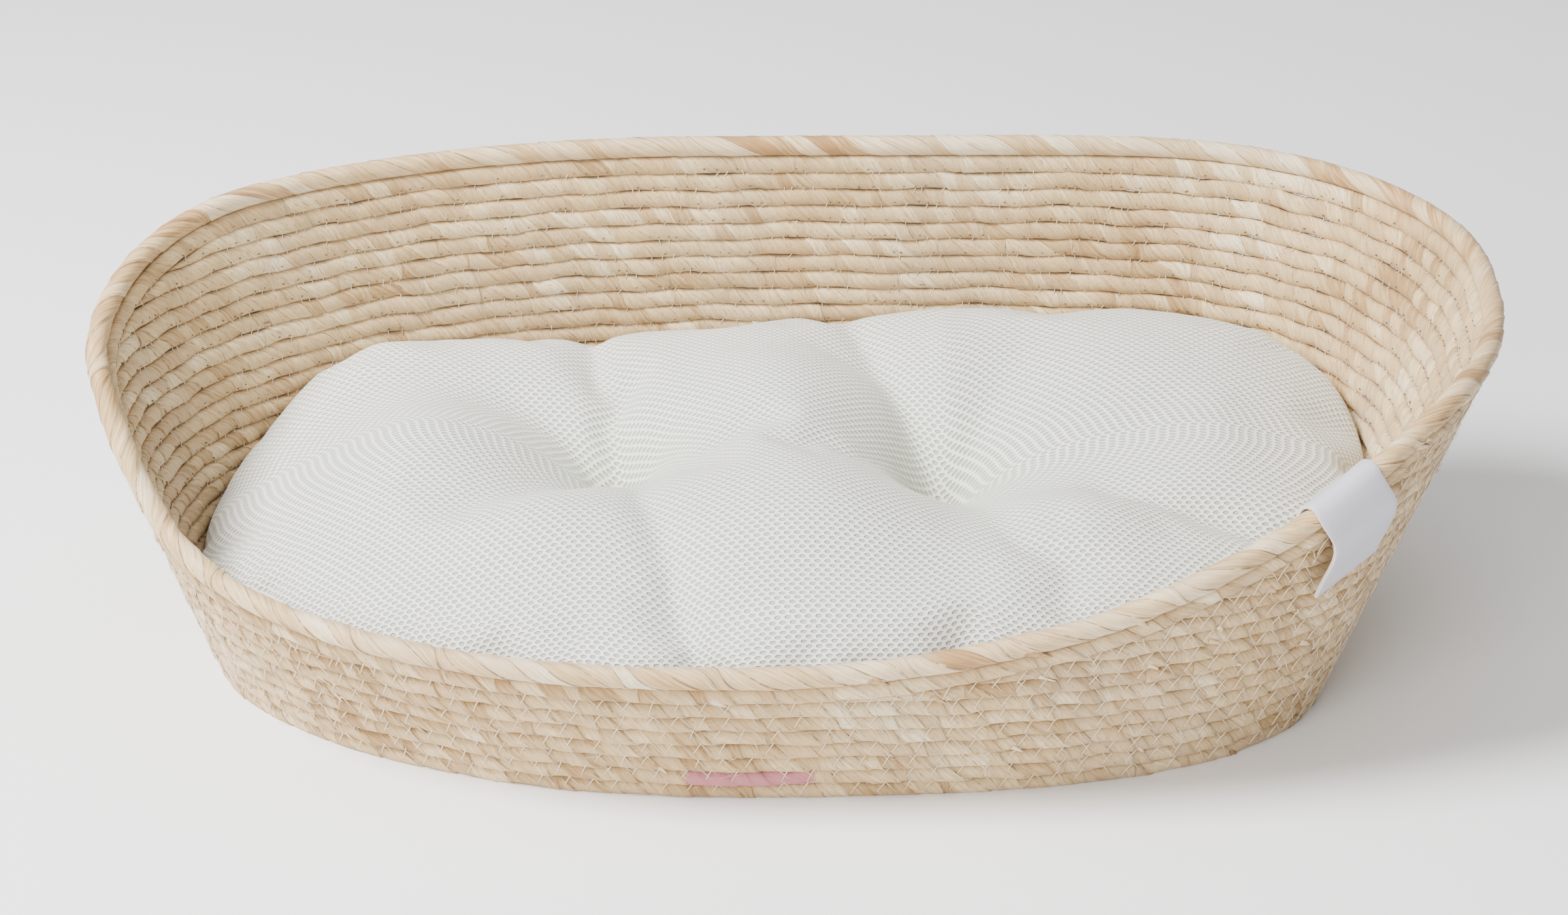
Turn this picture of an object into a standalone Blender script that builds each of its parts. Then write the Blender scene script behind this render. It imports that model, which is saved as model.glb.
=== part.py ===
"""An oval pet bed basket of sewn rope rows with a loose tufted cushion.

Metres, +Z up. The basket stands on z = 0, its length lies along X and its low front faces -Y.
Every rope row follows one wall surface, which the angle t (0 at the right end, 90 degrees at the
back) and the slant (distance up the wall from the lowest row) describe.
"""

import math

import bmesh
import bpy
from mathutils import Vector

# Rope rows
ROPE = 0.0082  # diameter of the sewn rope
RIM_ROPE = 0.0091  # diameter of the rope that binds the top edge
ROW_GAP = 0.0003  # clearance between touching pieces
EDGE_GAP = 0.0009  # clearance between the rim and the follow row, which both slope
PITCH = ROPE + ROW_GAP  # from one row to the next
FLAT = math.cos(math.radians(30))  # half height of a six-sided rope, in rope radii
TIP = 0.4  # how thin a row's end gets before it stops, in rope radii
END_GAP = 0.0022  # clearance between a tapering row end and the follow row
TURN = 0.02  # step in radians for a direction along a row

# Base oval and walls
BASE_HALF_LENGTH = 0.256  # to the centre of the lowest row
BASE_LAPS = 17  # rope laps from the middle of the base to the lowest row
BASE_START = 0.25  # the coil's first turn is this many pitches from the middle
ROUND_LEFT = 2.0  # superellipse exponents of the oval's two ends
ROUND_RIGHT = 2.75
FLARE_LEFT = 0.285  # outward run of the wall for each metre of height
FLARE_RIGHT = 0.45
FLARE_FRONT = 0.33
FLARE_BACK = 0.06
LEAN_FRONT = -0.2  # sideways run to the right for each metre of height
LEAN_BACK = 0.15
FULL_ROWS = 7  # rows that run all the way round
WALL_ROWS = 21  # rows at the back, under the follow row
ROUND_CHANGE = 2.5  # how quickly one end's roundness gives way to the other's
STATIONS = 36  # points round every row
BASE_STEP = 2  # the base coil uses every second one of them

# The top edge: share of the climb from the low front to the high back, at angles in degrees
CLIMB = (
    (-180, 0.76),
    (-160, 0.16),
    (-140, 0.04),
    (-115, 0.005),
    (-90, 0.0),
    (-65, 0.155),
    (-40, 0.48),
    (-15, 0.915),
    (15, 1.0),
    (150, 1.0),
    (180, 0.76),
)

# Sewn-on tag, folded over the rim
TAG_ANGLE = -33.8  # where its middle sits, in degrees
TAG_WIDTH = 0.034
TAG_THICKNESS = 0.0018
TAG_INSIDE = 0.016  # length of the short leg inside the basket
TAG_OUTSIDE = 0.034  # length of the long leg outside
TAG_CREASE = 0.62  # where the long leg bends away, as a share of its length
TAG_LIFT = 0.006  # how far its lower edge stands off the wall
TAG_BENDS = 8  # facets round the rim

# Cushion
CUSHION_CLEARANCE = 0.006  # to the rope rows round it
CUSHION_BACK = 0.108  # top at the back and at the front, above the base
CUSHION_FRONT = 0.062
CUSHION_CREST = 0.01  # where, from front to back, its top is halfway between the two
CUSHION_RISE = 0.06  # half the length over which it climbs from one to the other
CUSHION_SEAM = 0.034  # height of the seam above the base
CUSHION_CORE = 0.55  # half length of its middle line, as a share of the seam's
CUSHION_CROWN = 5  # how squarely its edge rounds down to the seam
PANEL = 0.003  # thickness of the mesh fabric
PANEL_GAP = 0.0012  # half the gap at the seam, and the gap to the filling
CUSHION_RINGS = 7
CUSHION_STATIONS = 28
TIE_RADIUS = 0.0012
TIE_HEAD = 0.004
TIE_PLAY = 0.0008  # round a tie where it passes the cushion
TIE_CROWN = 0.0018  # height of its domed head
TIE_SPOTS = ((-0.070, 0.012), (0.081, 0.006))
TIE_SPREAD = 0.040  # radius of the dimple that a tie pulls in
TIE_DEPTH = 0.034  # depth of the dimple on top
TIE_LIFT = 0.008  # depth of the hollow underneath
TIE_HOLLOW = 0.080  # and its radius, which leaves room for the lower head
TIE_RAYS = 24  # directions in which the fabric round a head is felt for its height
TIE_FEEL = (0.45, 0.75, 1.0)  # and how far out, in head radii

COLLECTION = "pet_bed_basket"


def blend(low, high, share):
    return low + (high - low) * share


def base_half_width():
    return BASE_LAPS * PITCH


def base_outline(t):
    """Centre of the lowest row at angle t."""
    c, s = math.cos(t), math.sin(t)
    power = 2.0 / blend(ROUND_LEFT, ROUND_RIGHT, 0.5 + 0.5 * math.tanh(ROUND_CHANGE * c))
    x = BASE_HALF_LENGTH * math.copysign(abs(c) ** power, c)
    y = base_half_width() * math.copysign(abs(s) ** power, s)
    return Vector((x, y, 0.0))


def base_normal(t):
    """Outward direction across the outline, level."""
    along = base_outline(t + TURN) - base_outline(t - TURN)
    return Vector((along.y, -along.x, 0.0)).normalized()


def flare_angle(t):
    c, s = math.cos(t), math.sin(t)
    side = blend(FLARE_LEFT, FLARE_RIGHT, 0.5 + 0.5 * c)
    face = blend(FLARE_FRONT, FLARE_BACK, 0.5 + 0.5 * s)
    return math.atan(side * c * c + face * s * s)


def wall_point(t, slant, off=0.0):
    """A point on the wall surface, or standing off it outwards by off."""
    lean = blend(LEAN_FRONT, LEAN_BACK, 0.5 + 0.5 * math.sin(t))
    angle = flare_angle(t)
    out = slant * math.sin(angle) + off * math.cos(angle)
    up = slant * math.cos(angle) - off * math.sin(angle)
    point = base_outline(t) + base_normal(t) * out
    return point + Vector((lean * max(up, 0.0), 0.0, up + FLAT * ROPE / 2))


def follow_rows(t):
    """How many rows up the wall the follow row lies: a monotone cubic through CLIMB."""
    degrees = math.degrees(math.atan2(math.sin(t), math.cos(t)))
    knots = [(CLIMB[-2][0] - 360, CLIMB[-2][1]), *CLIMB, (CLIMB[1][0] + 360, CLIMB[1][1])]
    i = max(j for j in range(1, len(knots) - 2) if knots[j][0] <= degrees + 1e-9)
    slopes = []
    for j in (i, i + 1):
        before = (knots[j][1] - knots[j - 1][1]) / (knots[j][0] - knots[j - 1][0])
        after = (knots[j + 1][1] - knots[j][1]) / (knots[j + 1][0] - knots[j][0])
        same_way = before * after > 0
        slopes.append(2 * before * after / (before + after) if same_way else 0.0)
    span = knots[i + 1][0] - knots[i][0]
    u = (degrees - knots[i][0]) / span
    share = knots[i][1] * (1 + 2 * u) * (1 - u) ** 2 + knots[i + 1][1] * u * u * (3 - 2 * u)
    share += span * (slopes[0] * u * (1 - u) ** 2 - slopes[1] * u * u * (1 - u))
    return blend(FULL_ROWS, WALL_ROWS, share)


def follow_slant(t):
    return follow_rows(t) * PITCH


def follow_cosine(t):
    """Cosine of the angle between the follow row and the level rows, on its steeper side of t."""
    slant = follow_slant(t)
    steepest = 0.0
    for turn in (-math.tau / STATIONS, math.tau / STATIONS):
        rise = abs(follow_slant(t + turn) - slant)
        run = (wall_point(t + turn, slant) - wall_point(t, slant)).length
        steepest = max(steepest, rise / run)
    return 1 / math.hypot(1, steepest)


def rim_slant(t):
    return follow_slant(t) + (ROPE / 2 + RIM_ROPE / 2 + EDGE_GAP) / follow_cosine(t)


def station_angles():
    """Angles that split the wall's girth, halfway up, into equal lengths."""
    count = 40 * STATIONS
    halfway = PITCH * WALL_ROWS / 2
    angles = [math.tau * i / count - math.pi / 2 for i in range(count + 1)]
    points = [wall_point(t, halfway) for t in angles]
    length = [0.0]
    for a, b in zip(points, points[1:]):
        length.append(length[-1] + (b - a).length)
    found = []
    j = 0
    for i in range(STATIONS):
        wanted = length[-1] * i / STATIONS
        while length[j + 1] <= wanted:
            j += 1
        share = (wanted - length[j]) / (length[j + 1] - length[j])
        found.append(blend(angles[j], angles[j + 1], share))
    return found


ANGLES = station_angles()


def level(slant):
    """The same slant at every angle."""
    return lambda t: slant


def on_rows(u, slant, off=0.0):
    """A point on the many-sided wall that the rows make, at station number u, which can be between two."""
    i = math.floor(u)
    ends = [ANGLES[k % STATIONS] for k in (i, i + 1)]
    low, high = (wall_point(t, slant(t), off) for t in ends)
    return low.lerp(high, u - i)


def material(name, colour, roughness):
    made = bpy.data.materials.new(name)
    made.use_nodes = True
    shader = made.node_tree.nodes["Principled BSDF"]
    shader.inputs["Base Color"].default_value = (*colour, 1.0)
    shader.inputs["Roughness"].default_value = roughness
    shader.inputs["Metallic"].default_value = 0.0
    return made


def add(obj, look, parts):
    parts.objects.link(obj)
    obj.data.materials.append(look)
    return obj


def rope(name, points, diameter, closed, look, parts):
    """A rope along points, each (place, radius as a share of the rope's own)."""
    curve = bpy.data.curves.new(name, "CURVE")
    curve.dimensions = "3D"
    curve.fill_mode = "FULL"
    curve.twist_mode = "Z_UP"
    curve.bevel_depth = diameter / 2
    curve.bevel_resolution = 1
    curve.use_fill_caps = not closed
    spline = curve.splines.new("POLY")
    spline.points.add(len(points) - 1)
    for target, (place, radius) in zip(spline.points, points):
        target.co = (*place, 1.0)
        target.radius = radius
    spline.use_cyclic_u = closed
    spline.use_smooth = True
    return add(bpy.data.objects.new(name, curve), look, parts)


def base_coil(look, parts):
    """The flat spiral that makes the base, one lap inside the lowest row at its end."""
    half_core = BASE_HALF_LENGTH - base_half_width()
    points = []
    turns = BASE_LAPS - 1 - BASE_START
    for i in range(0, round(STATIONS * turns) + 1, BASE_STEP):
        t = ANGLES[i % STATIONS]
        edge = base_outline(t)
        core = Vector((min(max(edge.x, -half_core), half_core), 0.0, 0.0))
        laps = BASE_START + i / STATIONS
        lap_width = (edge - core).dot(base_normal(t)) / BASE_LAPS
        radius = min(ROPE, lap_width - ROW_GAP) / 2
        place = core.lerp(edge, laps / BASE_LAPS)
        place.z = FLAT * radius
        points.append((place, radius / (ROPE / 2)))
    rope("base_coil", points, ROPE, False, look, parts)


def row_room(u, slant):
    """Largest rope radius that clears the follow row at this place."""
    t = ANGLES[u % STATIONS]
    return (follow_slant(t) - slant) * follow_cosine(t) - ROPE / 2 - END_GAP


def half_row(start, step, slant):
    """Points from the back round to where the follow row cuts the row off, or None if nothing does."""
    tip = TIP * ROPE / 2
    points = []
    for i in range(STATIONS):
        u = start + i * step
        room = row_room(u, slant)
        if room < tip:
            before = row_room(u - step, slant)
            back = (tip - room) / (before - room)
            points.append((on_rows(u - back * step, level(slant)), TIP))
            return points
        points.append((on_rows(u, level(slant)), min(1.0, room / (ROPE / 2))))
    return None


def wall_row(number, look, parts):
    slant = (number - 1) * PITCH
    back = STATIONS // 2
    left = half_row(back, 1, slant)
    right = half_row(back, -1, slant)
    name = f"wall_row_{number:02d}"
    if left is None or right is None:
        ring = [(on_rows(u, level(slant)), 1.0) for u in range(STATIONS)]
        rope(name, ring, ROPE, True, look, parts)
        return
    rope(name, right[::-1] + left[1:], ROPE, False, look, parts)


def edge_ropes(wall_look, rim_look, parts):
    follow = [(on_rows(u, follow_slant), 1.0) for u in range(STATIONS)]
    rim = [(on_rows(u, rim_slant), 1.0) for u in range(STATIONS)]
    rope("follow_row", follow, ROPE, True, wall_look, parts)
    rope("rim_rope", rim, RIM_ROPE, True, rim_look, parts)


def under_rim(below):
    """The slant this far below the rim's centre, measured square to the rim."""
    return lambda t: rim_slant(t) - below / follow_cosine(t)


def tag_section():
    """(distance below the rim's centre, standing off the wall) along the folded strip's inner face."""
    reach = RIM_ROPE / 2 + ROW_GAP * 2
    section = [(TAG_INSIDE, -reach), (TAG_INSIDE / 2, -reach)]
    for i in range(TAG_BENDS + 1):
        angle = math.pi * (1 - i / TAG_BENDS)
        section.append((-reach * math.sin(angle), reach * math.cos(angle)))
    crease = TAG_OUTSIDE * TAG_CREASE
    section.append((crease, reach + TAG_LIFT * (1 - TAG_CREASE) ** 2))
    section.append((TAG_OUTSIDE, reach + TAG_LIFT))
    return section


def tag(look, parts):
    """The folded strip: an open sheet that follows the rim's sides, with Solidify."""
    wanted = math.radians(TAG_ANGLE)
    i = max(u for u in range(STATIONS) if ANGLES[u] <= wanted)
    middle = i + (wanted - ANGLES[i]) / (ANGLES[(i + 1) % STATIONS] - ANGLES[i])
    chord = (on_rows(i + 1, rim_slant) - on_rows(i, rim_slant)).length
    ends = [middle - TAG_WIDTH / 2 / chord, middle + TAG_WIDTH / 2 / chord]
    corners = range(math.ceil(ends[0]), math.ceil(ends[1]))
    places = sorted({*ends, *map(float, corners)})
    mesh = bpy.data.meshes.new("tag")
    sheet = bmesh.new()
    rows = []
    for u in places:
        row = []
        for below, off in tag_section():
            row.append(sheet.verts.new(on_rows(u, under_rim(below), off)))
        rows.append(row)
    for a, b in zip(rows, rows[1:]):
        for i in range(len(a) - 1):
            sheet.faces.new((a[i], a[i + 1], b[i + 1], b[i]))
    bmesh.ops.recalc_face_normals(sheet, faces=sheet.faces)
    sheet.to_mesh(mesh)
    sheet.free()
    outward = base_normal(wanted)
    lowest = min(mesh.polygons, key=lambda face: face.center.z)
    obj = add(bpy.data.objects.new("tag", mesh), look, parts)
    thick = obj.modifiers.new("Solidify", "SOLIDIFY")
    thick.thickness = TAG_THICKNESS
    thick.offset = 1.0 if lowest.normal.dot(outward) > 0 else -1.0
    mesh.shade_smooth()


def cushion_height(y):
    """Top of the cushion over the base, before its edge rounds down."""
    back = 0.5 + 0.5 * math.tanh((y - CUSHION_CREST) / CUSHION_RISE)
    return blend(CUSHION_FRONT, CUSHION_BACK, back)


def dimple(x, y, spread):
    """How far the ties pull the surface in at x, y, from 0 to 1."""
    return sum(
        math.exp(-((x - tx) ** 2 + (y - ty) ** 2) / (2 * (spread / 2) ** 2)) for tx, ty in TIE_SPOTS
    )


def cushion_point(share, t, upper):
    """A point on the cushion's outside: share is 0 in the middle and 1 at the seam."""
    seam = ROPE + CUSHION_SEAM
    angle = flare_angle(t)
    edge = wall_point(t, (seam - FLAT * ROPE / 2) / math.cos(angle), -ROPE / 2 - CUSHION_CLEARANCE)
    core_x = edge.x * CUSHION_CORE * min(1.0, share * 2)
    x = blend(core_x, edge.x, share)
    y = edge.y * share
    rounding = math.sqrt(1 - share**CUSHION_CROWN)
    if upper:
        top = ROPE + cushion_height(y) - TIE_DEPTH * dimple(x, y, TIE_SPREAD)
        return Vector((x, y, seam + PANEL_GAP + (top - seam) * rounding))
    floor = ROPE + ROW_GAP * 3 + TIE_LIFT * min(1.0, dimple(x, y, TIE_HOLLOW))
    return Vector((x, y, seam - PANEL_GAP - (seam - floor) * rounding))


def cushion_grid(sheet, upper):
    """Rings of points from the middle to the seam, joined to a sheet. Returns the seam's ring."""
    shares = [math.sin(math.pi / 2 * (i + 1) / CUSHION_RINGS) for i in range(CUSHION_RINGS)]
    angles = [math.tau * i / CUSHION_STATIONS for i in range(CUSHION_STATIONS)]
    middle = sheet.verts.new(cushion_point(0.0, 0.0, upper))
    rings = [[sheet.verts.new(cushion_point(share, t, upper)) for t in angles] for share in shares]
    for i in range(CUSHION_STATIONS):
        j = (i + 1) % CUSHION_STATIONS
        sheet.faces.new((middle, rings[0][i], rings[0][j]))
        for inner, outer in zip(rings, rings[1:]):
            sheet.faces.new((inner[i], outer[i], outer[j], inner[j]))
    return rings[-1]


def cushion_panel(name, upper, look, parts):
    mesh = bpy.data.meshes.new(name)
    sheet = bmesh.new()
    cushion_grid(sheet, upper)
    if not upper:
        bmesh.ops.reverse_faces(sheet, faces=sheet.faces)
    sheet.to_mesh(mesh)
    sheet.free()
    mesh.shade_smooth()
    obj = add(bpy.data.objects.new(name, mesh), look, parts)
    thick = obj.modifiers.new("Solidify", "SOLIDIFY")
    thick.thickness = PANEL
    thick.offset = -1.0
    return obj


def cushion_filling(look, parts):
    """The closed form inside the two panels, drawn in by the fabric's thickness and the gap."""
    mesh = bpy.data.meshes.new("cushion_filling")
    sheet = bmesh.new()
    top = cushion_grid(sheet, True)
    top_faces = list(sheet.faces)
    bottom = cushion_grid(sheet, False)
    bmesh.ops.reverse_faces(sheet, faces=[f for f in sheet.faces if f not in set(top_faces)])
    for i in range(CUSHION_STATIONS):
        j = (i + 1) % CUSHION_STATIONS
        sheet.faces.new((top[i], bottom[i], bottom[j], top[j]))
    bmesh.ops.recalc_face_normals(sheet, faces=sheet.faces)
    sheet.normal_update()
    inset = PANEL + PANEL_GAP
    places = [v.co - v.normal * inset for v in sheet.verts]
    for v, place in zip(sheet.verts, places):
        v.co = place
    sheet.to_mesh(mesh)
    sheet.free()
    mesh.shade_smooth()
    return add(bpy.data.objects.new("cushion_filling", mesh), look, parts)


def tie_hole(spot, holes):
    """A cutter through the cushion where a tie passes."""
    hole = TIE_RADIUS + TIE_PLAY
    sheet = bmesh.new()
    bmesh.ops.create_cone(
        sheet, cap_ends=True, segments=12, radius1=hole, radius2=hole, depth=2 * CUSHION_BACK
    )
    mesh = bpy.data.meshes.new("tie_hole")
    sheet.to_mesh(mesh)
    sheet.free()
    cutter = bpy.data.objects.new("tie_hole", mesh)
    cutter.location = (*spot, CUSHION_BACK / 2)
    cutter.hide_render = True
    cutter.display_type = "WIRE"
    holes.objects.link(cutter)
    return cutter


def cushion_tie(name, spot, top, bottom, look, parts):
    """A tie turned about its own axis, with a head in each dimple."""
    radius, head = TIE_RADIUS, TIE_HEAD
    shoulder = math.cos(math.radians(45))
    profile = (
        (0.0, top + TIE_CROWN),
        (head * shoulder, top + TIE_CROWN * shoulder),
        (head, top),
        (radius, top),
        (radius, bottom),
        (head, bottom),
        (head * shoulder, bottom - TIE_CROWN * shoulder),
        (0.0, bottom - TIE_CROWN),
    )
    mesh = bpy.data.meshes.new(name)
    edges = [(i, i + 1) for i in range(len(profile) - 1)]
    mesh.from_pydata([(r, 0.0, z) for r, z in profile], edges, [])
    obj = add(bpy.data.objects.new(name, mesh), look, parts)
    obj.location = (*spot, 0.0)
    turn = obj.modifiers.new("Screw", "SCREW")
    turn.axis = "Z"
    turn.steps = turn.render_steps = 16
    turn.use_merge_vertices = True
    turn.merge_threshold = 0.00001
    turn.use_smooth_shade = True


def cushion(fabric, fibre, thread, parts, holes):
    """Two mesh panels, the filling between them and the ties that tuft it."""
    pieces = [
        cushion_panel("cushion_top_panel", True, fabric, parts),
        cushion_panel("cushion_bottom_panel", False, fabric, parts),
        cushion_filling(fibre, parts),
    ]
    for name, spot in zip(("cushion_tie_left", "cushion_tie_right"), TIE_SPOTS):
        cutter = tie_hole(spot, holes)
        for piece in pieces:
            cut = piece.modifiers.new("Boolean", "BOOLEAN")
            cut.operation = "DIFFERENCE"
            cut.object = cutter
        bpy.context.view_layer.update()
        reach = Vector((spot[0], spot[1], 0.0))
        top = highest_near(pieces[0], reach, TIE_HEAD)
        bottom = lowest_near(pieces[1], reach, TIE_HEAD)
        cushion_tie(name, spot, top + ROW_GAP, bottom - ROW_GAP, thread, parts)


def near_points(obj, reach, radius):
    """Heights of the finished surface inside a radius of a spot, read by casting rays down and up."""
    found = obj.evaluated_get(bpy.context.evaluated_depsgraph_get())
    heights = []
    for i in range(TIE_RAYS):
        angle = math.tau * i / TIE_RAYS
        for share in TIE_FEEL:
            x = reach.x + radius * share * math.cos(angle)
            y = reach.y + radius * share * math.sin(angle)
            for start, way in ((1.0, -1.0), (-1.0, 1.0)):
                hit, place, _, _ = found.ray_cast(Vector((x, y, start)), Vector((0.0, 0.0, way)))
                if hit:
                    heights.append(place.z)
    return heights


def highest_near(obj, reach, radius):
    return max(near_points(obj, reach, radius))


def lowest_near(obj, reach, radius):
    return min(near_points(obj, reach, radius))


def centre_footprint(objects):
    """Hangs everything on one empty, placed so that the rim's footprint is centred on the origin."""
    bpy.context.view_layer.update()
    rim = bpy.data.objects["rim_rope"].evaluated_get(bpy.context.evaluated_depsgraph_get())
    corners = [rim.matrix_world @ v.co for v in rim.to_mesh().vertices]
    rim.to_mesh_clear()
    middle = [(min(c[i] for c in corners) + max(c[i] for c in corners)) / 2 for i in (0, 1)]
    origin = bpy.data.objects.new("basket_origin", None)
    bpy.context.scene.collection.objects.link(origin)
    for obj in objects:
        obj.parent = origin
    origin.location = (-middle[0], -middle[1], 0.0)


def main():
    for obj in list(bpy.data.objects):
        bpy.data.objects.remove(obj, do_unlink=True)
    parts = bpy.data.collections.new(COLLECTION)
    holes = bpy.data.collections.new("cutters")
    bpy.context.scene.collection.children.link(parts)
    bpy.context.scene.collection.children.link(holes)
    husk = material("corn_husk_rope", (0.70, 0.57, 0.42), 0.65)
    rim_husk = material("rim_husk_rope", (0.76, 0.63, 0.47), 0.5)
    leather = material("white_tag", (0.84, 0.84, 0.86), 0.45)
    fabric = material("air_mesh", (0.86, 0.86, 0.80), 0.8)
    fibre = material("polyester_filling", (0.9, 0.9, 0.88), 0.95)
    thread = material("tuft_thread", (0.85, 0.85, 0.78), 0.7)
    base_coil(husk, parts)
    for number in range(1, WALL_ROWS + 1):
        wall_row(number, husk, parts)
    edge_ropes(husk, rim_husk, parts)
    tag(leather, parts)
    cushion(fabric, fibre, thread, parts, holes)
    centre_footprint([*parts.objects, *holes.objects])


main()
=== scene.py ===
"""The looks of the pet bed basket: husk-wrapped rope, sewing, tag and tufted mesh cushion.

Metres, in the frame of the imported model. Angles t run round the basket from its right end, with 90
degrees at the back, and the slant is the distance up the wall from the lowest row.
"""

import math

import bpy
import numpy as np
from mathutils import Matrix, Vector


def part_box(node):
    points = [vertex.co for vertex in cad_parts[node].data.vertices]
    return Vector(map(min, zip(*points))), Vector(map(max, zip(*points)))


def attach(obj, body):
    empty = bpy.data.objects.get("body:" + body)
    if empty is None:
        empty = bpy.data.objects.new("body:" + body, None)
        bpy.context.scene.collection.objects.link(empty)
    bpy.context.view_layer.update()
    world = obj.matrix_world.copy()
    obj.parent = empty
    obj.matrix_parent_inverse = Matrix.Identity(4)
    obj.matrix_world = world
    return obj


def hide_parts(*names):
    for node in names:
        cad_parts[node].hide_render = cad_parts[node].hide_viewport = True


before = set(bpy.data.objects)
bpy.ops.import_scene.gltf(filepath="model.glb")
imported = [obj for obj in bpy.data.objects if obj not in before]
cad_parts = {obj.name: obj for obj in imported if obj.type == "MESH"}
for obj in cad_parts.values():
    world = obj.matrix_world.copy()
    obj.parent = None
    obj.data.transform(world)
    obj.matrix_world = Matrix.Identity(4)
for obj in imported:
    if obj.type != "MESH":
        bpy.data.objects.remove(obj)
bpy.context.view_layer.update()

SEED = 7

# Rope and wall, as in the part
ROPE = 0.0082
RIM_ROPE = 0.0091
ROW_GAP = 0.0003
EDGE_GAP = 0.0009
PITCH = ROPE + ROW_GAP
FLAT = math.cos(math.radians(30))
BASE_HALF_LENGTH = 0.256
BASE_LAPS = 17
BASE_START = 0.25
ROUND_LEFT, ROUND_RIGHT, ROUND_CHANGE = 2.0, 2.75, 2.5
FLARE_LEFT, FLARE_RIGHT, FLARE_FRONT, FLARE_BACK = 0.285, 0.45, 0.33, 0.06
LEAN_FRONT, LEAN_BACK = -0.2, 0.15
FULL_ROWS, WALL_ROWS = 7, 21
TURN = 0.02
CLIMB = (
    (-180, 0.76), (-160, 0.16), (-140, 0.04), (-115, 0.005), (-90, 0.0), (-65, 0.155),
    (-40, 0.48), (-15, 0.915), (15, 1.0), (150, 1.0), (180, 0.76),
)
TAG_ANGLE, TAG_WIDTH, TAG_THICKNESS = math.radians(-33.8), 0.034, 0.0018

# Camera, aimed at a point of the part's frame
AIM = Vector((-0.0057, 0.0169, 0.0885))
AIM_ELEVATION, AIM_TURN = math.radians(24.9), 0.007
AIM_DISTANCE = 1.648
LENS, SENSOR = 81.24, 36.0  # millimetres


def blend(low, high, share):
    return low + (high - low) * share


def unit(v):
    return v / np.maximum(np.linalg.norm(v, axis=-1, keepdims=True), 1e-12)


# -------- the wall's surface

def base_outline(t):
    c, s = np.cos(t), np.sin(t)
    power = 2.0 / blend(ROUND_LEFT, ROUND_RIGHT, 0.5 + 0.5 * np.tanh(ROUND_CHANGE * c))
    x = BASE_HALF_LENGTH * np.sign(c) * np.abs(c) ** power
    y = BASE_LAPS * PITCH * np.sign(s) * np.abs(s) ** power
    return np.stack([x, y, np.zeros_like(x)], -1)


def base_normal(t):
    along = base_outline(t + TURN) - base_outline(t - TURN)
    return unit(np.stack([along[:, 1], -along[:, 0], 0 * t], -1))


def flare_angle(t):
    c, s = np.cos(t), np.sin(t)
    side = blend(FLARE_LEFT, FLARE_RIGHT, 0.5 + 0.5 * c)
    face = blend(FLARE_FRONT, FLARE_BACK, 0.5 + 0.5 * s)
    return np.arctan(side * c * c + face * s * s)


ROW_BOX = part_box("wall_row_01")
MIDDLE = np.array([(ROW_BOX[0].x + ROW_BOX[1].x) / 2, (ROW_BOX[0].y + ROW_BOX[1].y) / 2, 0.0])


def wall_point(t, slant, off=0.0):
    """Points on the wall surface, or standing off it outwards by off."""
    t = np.asarray(t, float)
    lean = blend(LEAN_FRONT, LEAN_BACK, 0.5 + 0.5 * np.sin(t))
    angle = flare_angle(t)
    out = slant * np.sin(angle) + off * np.cos(angle)
    up = slant * np.cos(angle) - off * np.sin(angle)
    point = base_outline(t) + base_normal(t) * np.asarray(out)[..., None]
    point[:, 0] += lean * np.maximum(up, 0.0)
    point[:, 2] += up + FLAT * ROPE / 2
    return point + MIDDLE


def follow_rows(t):
    """How many rows up the wall the follow row lies: a monotone cubic through CLIMB."""
    knots = np.array([(CLIMB[-2][0] - 360, CLIMB[-2][1]), *CLIMB, (CLIMB[1][0] + 360, CLIMB[1][1])])
    runs = np.diff(knots[:, 0])
    rises = np.diff(knots[:, 1]) / runs
    before, after = rises[:-1], rises[1:]
    safe = np.where(before * after > 0, before + after, 1.0)
    slopes = np.where(before * after > 0, 2 * before * after / safe, 0.0)
    degrees = np.degrees(np.arctan2(np.sin(t), np.cos(t)))
    i = np.clip(np.searchsorted(knots[:, 0], degrees + 1e-9, side="right") - 1, 1, len(knots) - 3)
    span, u = runs[i], (degrees - knots[i, 0]) / runs[i]
    share = knots[i, 1] * (1 + 2 * u) * (1 - u) ** 2 + knots[i + 1, 1] * u * u * (3 - 2 * u)
    share += span * (slopes[i - 1] * u * (1 - u) ** 2 - slopes[i] * u * u * (1 - u))
    return blend(FULL_ROWS, WALL_ROWS, share)


def follow_slant(t):
    return follow_rows(t) * PITCH


def follow_cosine(t):
    rise = follow_slant(t + TURN) - follow_slant(t - TURN)
    slant = follow_slant(t)
    run = np.linalg.norm(wall_point(t + TURN, slant) - wall_point(t - TURN, slant), axis=1)
    return 1 / np.hypot(1, rise / run)


def rim_slant(t):
    return follow_slant(t) + (ROPE / 2 + RIM_ROPE / 2 + EDGE_GAP / 2) / follow_cosine(t)


# -------- paths

PATH_STEP = 0.0015  # to either side of a place, to find the direction there


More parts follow.
